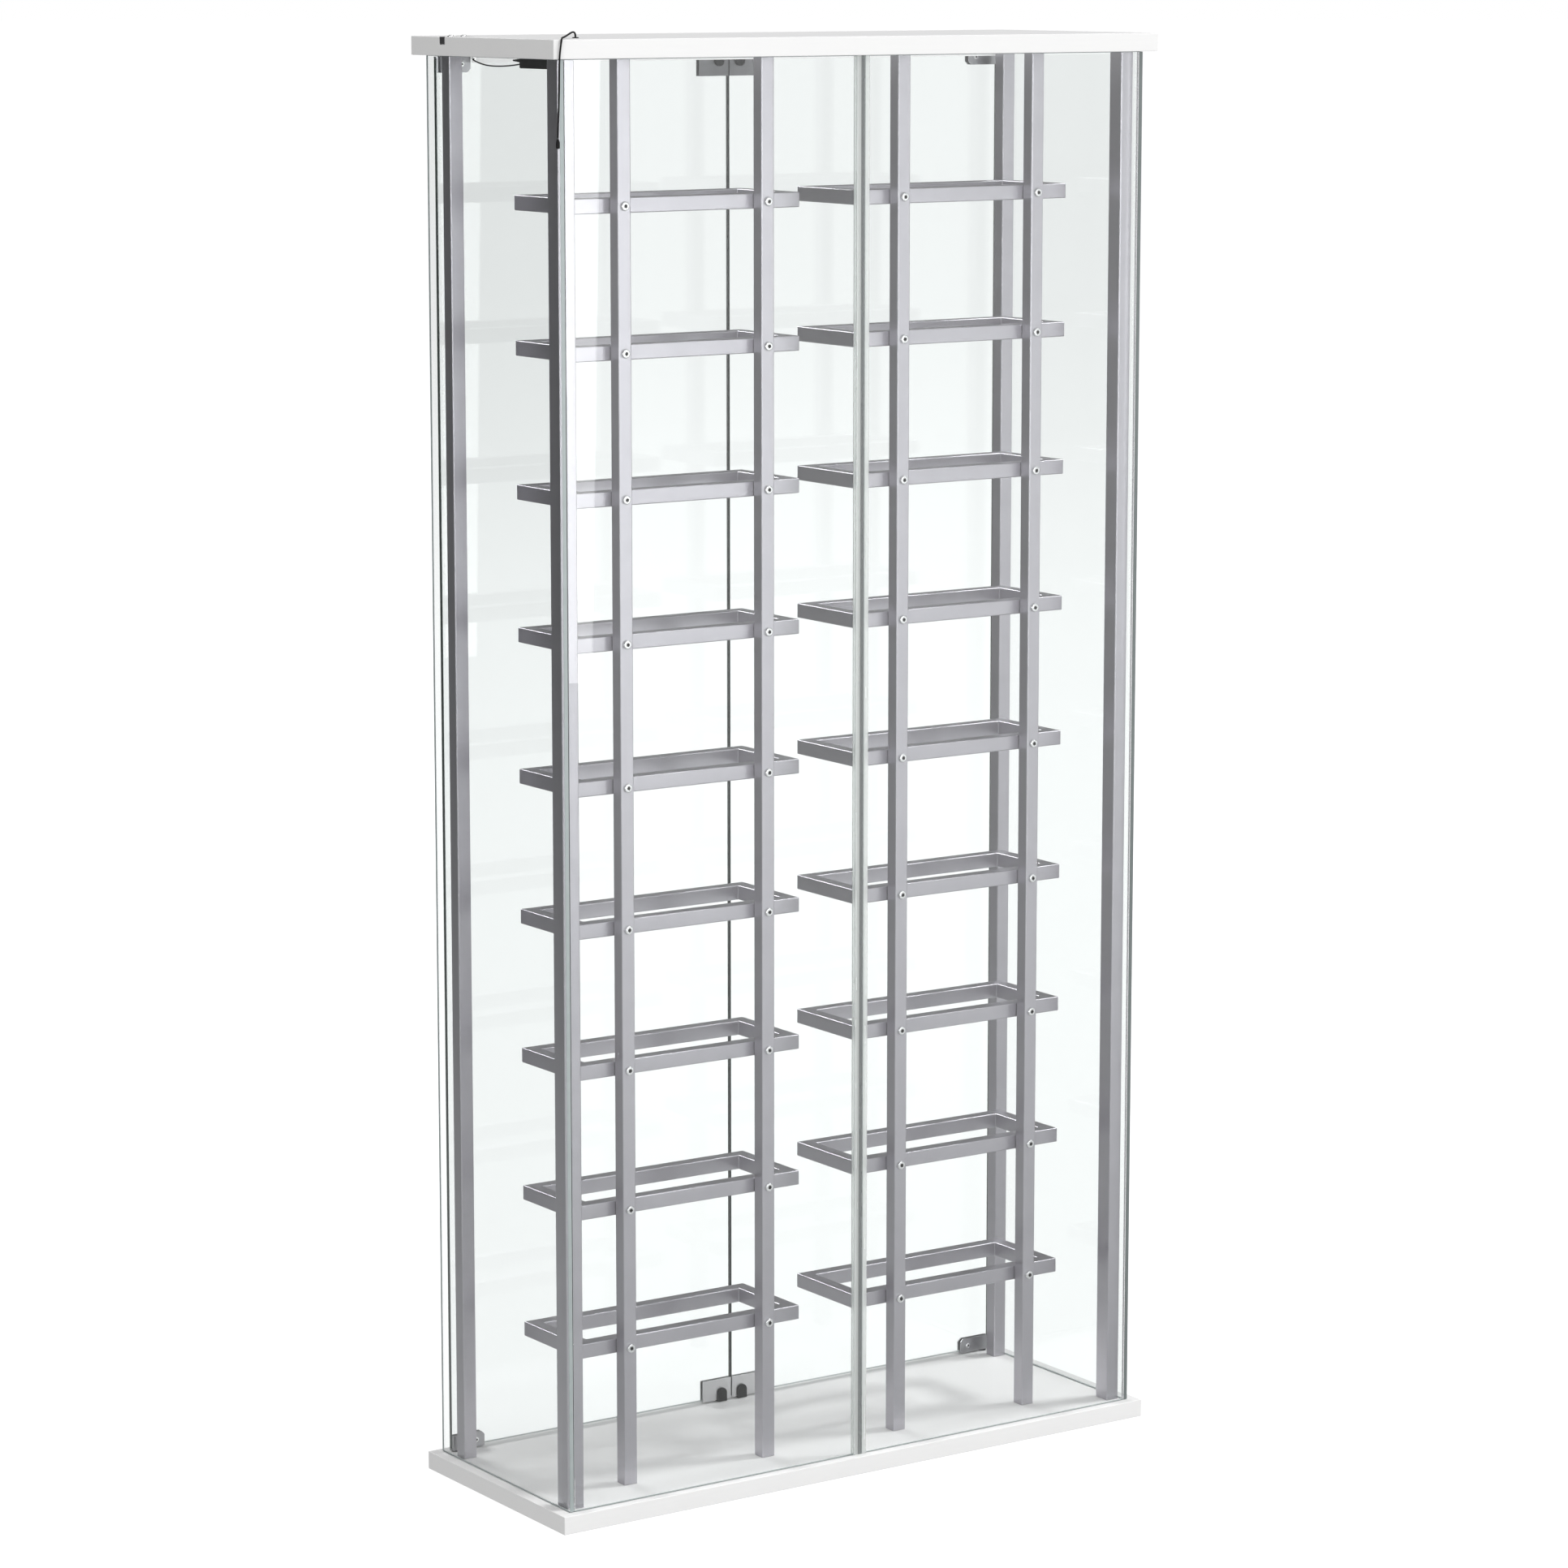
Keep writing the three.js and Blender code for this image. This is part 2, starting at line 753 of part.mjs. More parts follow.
// Out of the grommet, across the top board, over its rear edge near the right-hand end, and down.
// Each point gives its distance inwards from the right-hand end, its distance inwards from the
// rear edge, and its height above the top board.
const powerLeadPoints = [
  [52, 50, 1.1],
  [51.5, 49.3, 2.6],
  [49.7, 47.2, 4],
  [46.5, 43.5, 4.9],
  [42, 38.2, 5.1],
  [36.5, 31.9, 4.7],
  [30.5, 25.2, 3.9],
  [24.5, 18.5, 3],
  [18.5, 11.7, 2.2],
  [13, 5.5, 1.6],
  [9.3, 1.3, 1.3],
  [7.5, -0.8, 0.6],
  [6.6, -1.6, -1.2],
  [5.9, -1.8, -4.5],
  [5.1, -1.8, -10],
  [4.5, -1.8, -17],
  [4.2, -1.8, -27],
  [4, -1.8, -38],
  [3.6, -1.8, -50],
  [3.1, -1.8, -62],
  [2.7, -1.8, -72],
  [2.4, -1.8, -79.7],
].map(([inward, forward, above]) => [halfWidth - inward, rear - forward, HEIGHT + above]);
add(showcase, "power_lead", lead(powerLeadPoints, POWER_LEAD_R, 60), leadBlack);

const leadEnd = powerLeadPoints.at(-1);
add(
  showcase,
  "lead_connector",
  turned(
    [
      [0, 0],
      [CONNECTOR_R - 0.5, 0],
      [CONNECTOR_R, 0.8],
      [CONNECTOR_R, CONNECTOR_LENGTH - 3],
      [POWER_LEAD_R + 0.1, CONNECTOR_LENGTH],
      [0, CONNECTOR_LENGTH],
    ],
    14,
  ),
  blackPlastic,
  leadEnd[0],
  leadEnd[1],
  leadEnd[2] - SEAT - CONNECTOR_LENGTH,
);

export default showcase;
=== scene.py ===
# %% [markdown]
# # A wall-mounted glass showcase
# The real object is two white boards held apart by square tubes, closed by glass, with two columns
# of tube rings inside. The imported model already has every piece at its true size, so this script
# loads it as a fixed frame and gives each piece its edges, screws and finish. Everything is in
# metres: +Z is up, the doors face -Y and the wall side faces +Y.

import math

import bmesh
import bpy
from mathutils import Matrix, Vector


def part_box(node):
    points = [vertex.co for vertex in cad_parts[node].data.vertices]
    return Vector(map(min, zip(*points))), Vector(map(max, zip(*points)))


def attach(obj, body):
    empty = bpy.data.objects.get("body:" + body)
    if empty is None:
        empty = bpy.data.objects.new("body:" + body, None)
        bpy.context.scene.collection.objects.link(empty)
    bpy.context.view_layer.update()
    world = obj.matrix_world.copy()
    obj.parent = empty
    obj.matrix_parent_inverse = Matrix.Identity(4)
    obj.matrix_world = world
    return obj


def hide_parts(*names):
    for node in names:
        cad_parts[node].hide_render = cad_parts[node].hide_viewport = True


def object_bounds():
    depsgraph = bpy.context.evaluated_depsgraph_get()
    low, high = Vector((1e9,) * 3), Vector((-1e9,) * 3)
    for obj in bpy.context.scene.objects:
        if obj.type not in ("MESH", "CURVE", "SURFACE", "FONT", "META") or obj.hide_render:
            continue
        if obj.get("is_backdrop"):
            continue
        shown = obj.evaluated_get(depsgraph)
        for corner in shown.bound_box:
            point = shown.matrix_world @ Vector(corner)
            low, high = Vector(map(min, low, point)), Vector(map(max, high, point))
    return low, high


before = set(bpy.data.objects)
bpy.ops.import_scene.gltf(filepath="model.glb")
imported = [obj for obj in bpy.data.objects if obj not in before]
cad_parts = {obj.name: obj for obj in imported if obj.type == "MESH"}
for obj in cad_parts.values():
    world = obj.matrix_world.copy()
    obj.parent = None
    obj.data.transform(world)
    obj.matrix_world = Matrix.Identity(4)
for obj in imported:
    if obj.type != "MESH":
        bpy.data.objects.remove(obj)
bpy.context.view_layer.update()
MM = 0.001

# %% [markdown]
# ## Camera
# A long lens keeps the tall upright lines nearly parallel. The camera stands on the wall side, out
# past the +X end and a little above the top, and looks down by nine and a half degrees.

# %% Camera
LENS = 113.94
SENSOR_WIDTH = 36
CLIP_NEAR, CLIP_FAR = 0.1, 100
CAMERA_AT = Vector((2.4465, 3.5882, 1.3319))
HEADING = math.radians(34.202)
DOWNWARD = math.radians(9.5)

looking = Vector(
    (
        -math.sin(HEADING) * math.cos(DOWNWARD),
        -math.cos(HEADING) * math.cos(DOWNWARD),
        -math.sin(DOWNWARD),
    )
)
lens = bpy.data.cameras.new("camera")
lens.lens = LENS
lens.sensor_width = SENSOR_WIDTH
lens.clip_start = CLIP_NEAR
lens.clip_end = CLIP_FAR
camera = bpy.data.objects.new("camera", lens)
bpy.context.scene.collection.objects.link(camera)
camera.rotation_mode = "QUATERNION"
camera.location = CAMERA_AT
camera.rotation_quaternion = looking.to_track_quat("-Z", "Y")
bpy.context.scene.camera = camera
print("camera at", [round(v, 3) for v in CAMERA_AT])

# %% [markdown]
# ## Leads
# Two thin leads are fixed lengths of something flexible. One comes out of the top board, runs over
# its edge and hangs with a small connector on its end. The other sags under the board from the
# driver box to the light strip. A curve through given points, with a round bevel, keeps both
# the thickness and the smooth line. It is turned into a mesh tube, whose box is its true size.

# %% Helper: a lead from route points
CABINET = "cabinet"
ROUND_STEPS = 3
ALONG_STEPS = 6
WELD = 0.01 * MM
TUBE_SHARP = math.radians(50)


def lead(name, route, diameter):
    curve = bpy.data.curves.new(name, "CURVE")
    curve.dimensions = "3D"
    curve.bevel_depth = diameter / 2
    curve.bevel_resolution = ROUND_STEPS
    curve.resolution_u = ALONG_STEPS
    curve.use_fill_caps = True
    spline = curve.splines.new("BEZIER")
    spline.bezier_points.add(len(route) - 1)
    for point, place in zip(spline.bezier_points, route):
        point.co = Vector(place) * MM
        point.handle_left_type = "AUTO"
        point.handle_right_type = "AUTO"
    line = bpy.data.objects.new(name + "_line", curve)
    bpy.context.scene.collection.objects.link(line)
    shown = line.evaluated_get(bpy.context.evaluated_depsgraph_get())
    tube = bpy.data.meshes.new_from_object(shown)
    bpy.data.objects.remove(line)
    shape = bmesh.new()
    shape.from_mesh(tube)
    bmesh.ops.remove_doubles(shape, verts=shape.verts, dist=WELD)
    bmesh.ops.recalc_face_normals(shape, faces=shape.faces)
    shape.to_mesh(tube)
    shape.free()
    for face in tube.polygons:
        face.use_smooth = True
    tube.set_sharp_from_angle(angle=TUBE_SHARP)
    made = bpy.data.objects.new(name, tube)
    bpy.context.scene.collection.objects.link(made)
    return made


def route_length(route):
    return sum((Vector(b) - Vector(a)).length for a, b in zip(route, route[1:])) * MM


print("leads are welded within", round(WELD / MM, 3), "mm")

# %% Routes of the two leads
POWER_ROUTE = [
    (260.5, 65.5, 1264.1),
    (261, 66.2, 1265.6),
    (262.8, 68.3, 1267),
    (266, 72, 1267.9),
    (270.5, 77.3, 1268.1),
    (276, 83.6, 1267.7),
    (282, 90.3, 1266.9),
    (288, 97, 1266),
    (294, 103.8, 1265.2),
    (299.5, 110, 1264.6),
    (303.2, 114.2, 1264.3),
    (305, 116.3, 1263.6),
    (305.9, 117.1, 1261.8),
    (306.6, 117.3, 1258.5),
    (307.4, 117.3, 1253),
    (308, 117.3, 1246),
    (308.3, 117.3, 1236),
    (308.5, 117.3, 1225),
    (308.9, 117.3, 1213),
    (309.4, 117.3, 1201),
    (309.8, 117.3, 1191),
    (310.1, 117.3, 1183.3),
]
LIGHT_ROUTE = [
    (263.5, -4.9, 1241.2),
    (263.7, -12, 1240.5),
    (264, -21.8, 1239.5),
    (264.3, -33.7, 1238.6),
    (264.6, -45.6, 1238.1),
    (264.8, -56.4, 1238.1),
    (265, -66.4, 1238.6),
    (265, -75.2, 1239.7),
    (265, -82.2, 1241),
    (264.7, -87.6, 1242.2),
    (263.8, -91, 1243),
    (262.8, -92.1, 1243.2),
    (261.8, -92.3, 1243.3),
]
print("route points:", len(POWER_ROUTE), "and", len(LIGHT_ROUTE))

# %% The power lead and the light lead
POWER_DIAMETER = 1.6 * MM
LIGHT_DIAMETER = 1.2 * MM
power_lead = lead("power_lead_sheath", POWER_ROUTE, POWER_DIAMETER)
light_lead = lead("light_lead_sheath", LIGHT_ROUTE, LIGHT_DIAMETER)
for piece, node in ((power_lead, "power_lead"), (light_lead, "light_lead")):
    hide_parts(node)
    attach(piece, CABINET)
print("power lead", round(route_length(POWER_ROUTE), 4), "m")
print("light lead", round(route_length(LIGHT_ROUTE), 4), "m")

# %% [markdown]
# ## Writing materials as sums
# A finish is a few numbers that change over the surface: a little colour, a little roughness, a
# little bump. Wrapping each node's output in a small class lets those sums be written as plain
# arithmetic, and one method makes every other kind of node.


# %% Helper: a value with arithmetic
class Value:
    """A number worked out by a material, which can be added to, multiplied and so on."""

    def __init__(self, recipe, socket):
        self.recipe = recipe
        self.socket = socket

    def combine(self, operation, first, second):
        return self.recipe.node("Math", {"operation": operation}, {0: first, 1: second})

    def __add__(self, other):
        return self.combine("ADD", self, other)

    def __radd__(self, other):
        return self.combine("ADD", other, self)

    def __sub__(self, other):
        return self.combine("SUBTRACT", self, other)

    def __rsub__(self, other):
        return self.combine("SUBTRACT", other, self)

    def __mul__(self, other):
        return self.combine("MULTIPLY", self, other)

    def __rmul__(self, other):
        return self.combine("MULTIPLY", other, self)

    def __gt__(self, other):
        return self.combine("GREATER_THAN", self, other)


print("a value can be added, subtracted, multiplied and compared")


# %% Helper: a recipe that makes nodes
# A Mix node has a set of sockets for each kind of data, and these are the ones for colours.
MIX_SHARE, MIX_FIRST, MIX_SECOND, MIX_RESULT = 0, 6, 7, 2


class Recipe:
    """One material being written."""

    def __init__(self, name):
        self.material = bpy.data.materials.new(name)
        self.material.use_nodes = True
        self.tree = self.material.node_tree
        self.tree.nodes.clear()

    def node(self, kind, settings=None, inputs=None, output=0):
        made = self.tree.nodes.new("ShaderNode" + kind)
        for name, value in (settings or {}).items():
            setattr(made, name, value)
        for name, value in (inputs or {}).items():
            if isinstance(value, Value):
                self.tree.links.new(value.socket, made.inputs[name])
            else:
                made.inputs[name].default_value = value
        return Value(self, made.outputs[output]) if len(made.outputs) else None

    def place(self):
        return self.node("TexCoord", output="Object")

    def stretched(self, factors):
        return self.node("Mapping", inputs={"Vector": self.place(), "Scale": factors})

    def noise(self, size, detail=2.0, roughness=0.5, factors=(1, 1, 1)):
        """Soft random values from 0 to 1 with features of about this size in metres."""
        return self.node(
            "TexNoise",
            inputs={
                "Vector": self.stretched(factors),
                "Scale": 1 / size,
                "Detail": detail,
                "Roughness": roughness,
            },
        )

    def blend(self, share, first, second):
        """The first colour turning into the second as share goes from 0 to 1."""
        return self.node(
            "Mix",
            {"data_type": "RGBA"},
            {MIX_SHARE: share, MIX_FIRST: first, MIX_SECOND: second},
            output=MIX_RESULT,
        )

    def bump(self, height, depth):
        return self.node("Bump", inputs={"Height": height, "Distance": depth, "Strength": 1.0})

    def surface(self, **inputs):
        named = {key.replace("_", " "): value for key, value in inputs.items()}
        return self.node("BsdfPrincipled", inputs=named)

    def finish(self, shader):
        self.node("OutputMaterial", inputs={"Surface": shader})
        return self.material


def colour(red, green, blue):
    return (red, green, blue, 1.0)


WHITE = colour(1, 1, 1)
print("recipes are ready")

# %% [markdown]
# ## Board finish
# The boards are faced in white melamine. Up close such a face has a faint pebble that breaks up
# the light, and slow changes of tone, so it gets a shallow bump and three sizes of noise. Two
# greyer copies of the same facing paint shade onto the top board's wall-side edge and upper face.

# %% White melamine
PEBBLE, CLOUD, STREAK = 1.1 * MM, 35 * MM, 2.5 * MM
ALONG_BOARD = (0.08, 1, 1)
PEBBLE_DEPTH = 0.02 * MM


def melamine(name, dark, light):
    mix = Recipe(name)
    pebble = mix.noise(PEBBLE, detail=3.0)
    cloud = mix.noise(CLOUD)
    streak = mix.noise(STREAK, factors=ALONG_BOARD)
    tone = 0.25 * pebble + 0.35 * cloud + 0.4 * streak
    base = mix.blend(tone, colour(*dark), colour(*light))
    shader = mix.surface(
        Base_Color=base,
        Roughness=0.42 + 0.12 * pebble,
        Normal=mix.bump(pebble, PEBBLE_DEPTH),
    )
    return mix.finish(shader)


white_melamine = melamine("white_melamine", (0.81, 0.81, 0.81), (0.88, 0.88, 0.875))
# The next two greyer copies of the facing are painted shade for the top board's wall-side edge and
# upper face.
painted_shade_wall_edge = melamine("white_painted_shade_wall_edge", (0.75, 0.75, 0.75), (0.8, 0.8, 0.795))
painted_shade_upper_face = melamine("white_painted_shade_upper_face", (0.7, 0.7, 0.705), (0.76, 0.76, 0.76))
print("boards in", white_melamine.name, painted_shade_wall_edge.name, painted_shade_upper_face.name)

# %% [markdown]
# ## Tube finish
# The tubes are satin silver: a metal look broken by a fine grain and a slow cloud of tone. The
# grain is what makes the highlights soft instead of mirror-like. The clamps, plates, fitting and
# screws are steel in other tones, and a darker copy of the plate steel is painted shade for the top
# plates, so one recipe makes them all.

# %% Satin silver and steels
METAL_CLOUD = 22 * MM


def satin_metal(name, dark, light, rough, grain, depth, metallic=1.0):
    mix = Recipe(name)
    speck = mix.noise(grain, detail=2.0, roughness=0.6)
    cloud = mix.noise(METAL_CLOUD)
    tone = 0.45 * speck + 0.55 * cloud
    shader = mix.surface(
        Base_Color=mix.blend(tone, colour(*dark), colour(*light)),
        Metallic=metallic,
        Roughness=rough + 0.12 * (speck - 0.5),
        Normal=mix.bump(speck, depth),
    )
    return mix.finish(shader)


satin_tube = satin_metal(
    "satin_silver_tube",
    (0.43, 0.417, 0.453),
    (0.525, 0.51, 0.547),
    0.3,
    0.45 * MM,
    0.004 * MM,
    metallic=0.94,
)
clamp_steel = satin_metal(
    "clamp_steel", (0.34, 0.34, 0.355), (0.44, 0.44, 0.455), 0.3, 0.35 * MM, 0.004 * MM
)
plate_steel = satin_metal(
    "plate_steel", (0.55, 0.55, 0.56), (0.65, 0.65, 0.66), 0.3, 0.3 * MM, 0.004 * MM
)
dull_steel = satin_metal(
    "dull_steel", (0.16, 0.16, 0.165), (0.24, 0.24, 0.25), 0.45, 0.5 * MM, 0.008 * MM
)
# A darker copy of the plate steel: painted shade for the top strike plates.
painted_shade_plate_steel = satin_metal(
    "painted_shade_plate_steel", (0.15, 0.15, 0.158), (0.21, 0.21, 0.218), 0.32, 0.3 * MM, 0.004 * MM
)
screw_steel = satin_metal(
    "screw_steel", (0.78, 0.78, 0.79), (0.88, 0.88, 0.89), 0.22, 0.3 * MM, 0.002 * MM
)
print("six metals")

# %% [markdown]
# ## Plastics
# Black moulded pieces have a fine leather-like texture from their moulds. The leads have a coarser
# and shallower one. The light strip's channel and cover carry a faint painted glow, which brightens
# them where the top board shades them.

# %% Black and white plastics


def moulded(name, dark, light, rough, grain, depth, shine=0.5, glow=0.0):
    mix = Recipe(name)
    texture = mix.noise(grain, detail=3.0)
    shader = mix.surface(
        Base_Color=mix.blend(texture, colour(*dark), colour(*light)),
        Roughness=rough + 0.15 * (texture - 0.5),
        Normal=mix.bump(texture, depth),
        Specular_IOR_Level=shine,
        Emission_Color=WHITE,
        Emission_Strength=glow,
    )
    return mix.finish(shader)


DULL = 0.15
black_moulding = moulded(
    "black_moulding",
    (0.006, 0.006, 0.007),
    (0.014, 0.014, 0.015),
    0.6,
    0.5 * MM,
    0.02 * MM,
    shine=DULL,
)
lead_sheath = moulded(
    "lead_sheath",
    (0.004, 0.004, 0.005),
    (0.01, 0.01, 0.011),
    0.6,
    0.8 * MM,
    0.01 * MM,
    shine=DULL,
)
# The glow of the white channel and of the opal cover is painted light, standing in for light that
# the board above shades off.
white_coating_painted_glow = moulded(
    "white_coating_painted_glow", (0.8, 0.8, 0.8), (0.88, 0.88, 0.88), 0.4, 0.6 * MM, 0.006 * MM, glow=0.3
)
opal_cover_painted_glow = moulded(
    "opal_cover_painted_glow", (0.85, 0.85, 0.83), (0.92, 0.92, 0.9), 0.6, 0.7 * MM, 0.004 * MM, glow=0.6
)
print("four plastics")

# %% [markdown]
# ## Glass
# Float glass is clear through its faces and green through its edges, where sight runs along the
# sheet. The faces get a clear glass. An edge is ground, so it scatters light like any dull surface,
# and three tones of it cover the sheets: a pale one, and a grey and a deep one that are painted
# shade. Lamps and bounced light pass straight through the faces, because light bent by glass takes
# far too long to gather.

# %% Clear glass
GLASS_BEND = 1.5
GLASS_SHINE = 0.12


def lets_light_pass(mix, glass, tint):
    clear = mix.node("BsdfTransparent", inputs={"Color": colour(*tint)})
    shader = glass
    for kind in ("Is Diffuse Ray", "Is Shadow Ray"):
        ray = mix.node("LightPath", output=kind)
        shader = mix.node("MixShader", inputs={0: ray, 1: shader, 2: clear})
    return shader


def glass(name, tint):
    mix = Recipe(name)
    sheet = mix.surface(
        Base_Color=colour(*tint),
        Roughness=0.0,
        IOR=GLASS_BEND,
        Specular_IOR_Level=GLASS_SHINE,
        Transmission_Weight=1.0,
    )
    return mix.finish(lets_light_pass(mix, sheet, (1.0, 1.0, 1.0)))


clear_glass = glass("clear_glass", (0.92, 0.938, 0.934))
print("material", clear_glass.name)

# %% Ground edges of the glass
GRIT, RIPPLE = 0.6 * MM, 9 * MM
GRIT_DEPTH = 0.01 * MM


def ground_edge(name, dark, light, rough):
    mix = Recipe(name)
    grit = mix.noise(GRIT, detail=3.0)
    ripple = mix.noise(RIPPLE)
    tone = 0.4 * grit + 0.6 * ripple
    edge = mix.surface(
        Base_Color=mix.blend(tone, colour(*dark), colour(*light)),
        Roughness=rough + 0.2 * grit,
        Normal=mix.bump(grit, GRIT_DEPTH),
    )
    return mix.finish(edge)


pale_edge = ground_edge("pale_glass_edge", (0.3, 0.345, 0.345), (0.42, 0.465, 0.465), 0.25)
# The grey and deep tones are the same ground edge with painted shade, for sheets that stand against
# shade.
painted_half_shade_edge = ground_edge("painted_half_shade_glass_edge", (0.12, 0.14, 0.14), (0.18, 0.205, 0.205), 0.25)
painted_shade_edge = ground_edge("painted_shade_glass_edge", (0.012, 0.02, 0.018), (0.028, 0.042, 0.039), 0.12)
print("edges:", pale_edge.name, painted_half_shade_edge.name, painted_shade_edge.name)

# %% [markdown]
# ## Joint strip finish
# A clear plastic strip joins the two wall-side panes. It is drawn through a die, so it is slightly
# milky with fine upright lines, and a darker band down its middle is painted shade of the web
# behind its face.

# %% Milky strip
DRAWN_LINES = 1.5 * MM
ALONG_STRIP = (1, 1, 0.02)
WEB_SHADE_REACH = 2.2 * MM


def milky():
    mix = Recipe("clear_strip")
    drawn = mix.noise(DRAWN_LINES, factors=ALONG_STRIP)
    clear_part = mix.blend(drawn, colour(0.76, 0.78, 0.77), colour(0.84, 0.86, 0.85))
    across = mix.node("SeparateXYZ", inputs={0: mix.place()}, output="X")
    off_centre = mix.node("Math", {"operation": "ABSOLUTE"}, {0: across})
    # The darker colour near the middle line is painted shade of the web behind the face.
    base = mix.blend(off_centre > WEB_SHADE_REACH, colour(0.34, 0.36, 0.36), clear_part)
    strip = mix.surface(
        Base_Color=base,
        Roughness=0.22 + 0.08 * drawn,
        IOR=1.46,
        Transmission_Weight=0.7,
    )
    return mix.finish(lets_light_pass(mix, strip, (0.88, 0.9, 0.89)))


clear_strip = milky()
print("material", clear_strip.name)

# %% [markdown]
# ## Shared shaping helpers
# Most pieces start as a block with softened edges. The block is scaled to its box, its edges are
# bevelled, and it becomes an object that stays at the origin with its place in its mesh.

# %% Helper: from a bmesh to a riding piece
def new_piece(name, shape, materials, body, replaced=()):
    mesh = bpy.data.meshes.new(name)
    bmesh.ops.recalc_face_normals(shape, faces=shape.faces)
    shape.to_mesh(mesh)
    shape.free()
    for material in materials:
        mesh.materials.append(material)
    made = bpy.data.objects.new(name, mesh)
    bpy.context.scene.collection.objects.link(made)
    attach(made, body)
    if replaced:
        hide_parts(*replaced)
    return made


print("pieces ride on", CABINET, "or on a door")


# %% Helpers: a block, and softened edges
NEARLY_ALL = 0.99
MOSTLY = 0.9
SHARP = math.radians(35)


def block(low, high):
    low, high = Vector(low), Vector(high)
    shape = bmesh.new()
    bmesh.ops.create_cube(shape, size=1.0)
    bmesh.ops.scale(shape, vec=high - low, verts=shape.verts)
    bmesh.ops.translate(shape, vec=(high + low) / 2, verts=shape.verts)
    return shape


def soften(shape, edges, width, segments=2):
    bmesh.ops.bevel(
        shape,
        geom=list(edges),
        offset=width,
        offset_type="OFFSET",
        affect="EDGES",
        segments=segments,
        profile=0.5,
        material=-1,
        clamp_overlap=True,
    )


def runs_along(edge, axis):
    line = edge.verts[1].co - edge.verts[0].co
    return abs(line.normalized()[axis]) > NEARLY_ALL


print("block and soften are ready")

# %% Helpers: even shading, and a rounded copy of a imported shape
SHADING_SHARP = math.radians(40)
FULL_WEIGHT = 100
COPY_WELD = 0.005 * MM
FLAT_WITHIN = math.radians(1)


def smooth(piece):
    """Smooth shading that leaves big faces flat and lets the small rounds do the turning."""
    for face in piece.data.polygons:
        face.use_smooth = True
    piece.data.set_sharp_from_angle(angle=SHADING_SHARP)
    even = piece.modifiers.new("even_shading", "WEIGHTED_NORMAL")
    even.weight = FULL_WEIGHT
    even.keep_sharp = True


def softened_copy(node, width, segments=2):
    """A node's own shape with its triangles joined to flat faces and its sharp edges rounded."""
    shape = bmesh.new()
    shape.from_mesh(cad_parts[node].data)
    bmesh.ops.remove_doubles(shape, verts=shape.verts, dist=COPY_WELD)
    bmesh.ops.dissolve_limit(
        shape, angle_limit=FLAT_WITHIN, verts=shape.verts, edges=shape.edges
    )
    sharp = [e for e in shape.edges if e.is_manifold and e.calc_face_angle() > SHARP]
    soften(shape, sharp, width, segments)
    return shape


print("softened copies are welded within", round(COPY_WELD / MM, 3), "mm")

# %% [markdown]
# ## Boards
# Each board is cut square and edged, and its corners are barely rounded by the edging. The copy
# keeps the pockets of the imported board and gains that small round. The top board's upper face and
# its wall-side edge get greyer copies of the facing, which are painted shade.

# %% Boards
BOARD_ROUND = 0.7 * MM
WALL_EDGE, UPPER_FACE = 1, 2
for node in ("bottom_board", "top_board"):
    shape = softened_copy(node, BOARD_ROUND)
    finishes = [white_melamine]
    if node == "top_board":
        # These two greyer copies put painted shade on the top board's upper face and wall-side
        # edge.
        finishes += [painted_shade_wall_edge, painted_shade_upper_face]
        for face in shape.faces:
            if face.normal.z > MOSTLY:
                face.material_index = UPPER_FACE
            elif face.normal.y > MOSTLY:
                face.material_index = WALL_EDGE
    piece = new_piece(node + "_faced", shape, finishes, CABINET, [node])
    smooth(piece)

# %% [markdown]
# ## Posts
# A drawn square tube has small round corners, which catch a thin line of light from top to bottom.
# A block with rounded upright edges gets its ends inset and joined through, so it is a real tube.

# %% Posts
TUBE_WALL = 1 * MM
CORNER_ROUND = 1.1 * MM
ROUND_SEGMENTS = 3
UPRIGHT = 2


def open_through(shape, wall):
    """Cuts a hole of the same outline from the top to the bottom, a wall in from the sides."""
    ends = [f for f in shape.faces if abs(f.normal.z) > MOSTLY]
    bmesh.ops.inset_individual(
        shape, faces=ends, thickness=wall, depth=0.0, use_even_offset=True
    )
    rims = [e for f in ends for e in f.edges]
    bmesh.ops.delete(shape, geom=ends, context="FACES_ONLY")
    bmesh.ops.bridge_loops(shape, edges=rims)


def square_tube(low, high):
    shape = block(low, high)
    edges = [e for e in shape.edges if runs_along(e, UPRIGHT)]
    soften(shape, edges, CORNER_ROUND, ROUND_SEGMENTS)
    open_through(shape, TUBE_WALL)
    return shape


posts = [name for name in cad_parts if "_post_" in name]
for node in posts:
    shape = square_tube(*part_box(node))
    piece = new_piece(node + "_tube", shape, [satin_tube], CABINET, [node])
    smooth(piece)
print("posts:", len(posts))

# %% [markdown]
# ## Ring carriers
# Four lengths of the same tube are mitred and welded into a flat ring, and the welds are dressed
# flush. A block with its middle opened and all edges rounded makes the ring.

# %% Rings
RING_ROUND = 0.9 * MM
BAR = 13 * MM


def ring_frame(low, high):
    shape = block(low, high)
    open_through(shape, BAR)
    shape.normal_update()
    sharp = [e for e in shape.edges if e.calc_face_angle(0) > SHARP]
    soften(shape, sharp, RING_ROUND, ROUND_SEGMENTS)
    return shape


rings = [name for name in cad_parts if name.startswith("ring_")]
for node in rings:
    shape = ring_frame(*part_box(node))
    piece = new_piece(node + "_frame", shape, [satin_tube], CABINET, [node])
    smooth(piece)
print("rings:", len(rings))

# %% [markdown]
# ## Ring screws
# Each ring hangs on two screws that pass through its posts. Their round heads have a hexagon
# socket. A head is a circle extruded step by step up its profile, with the flat top bridged to a
# hexagon that is then sunk.

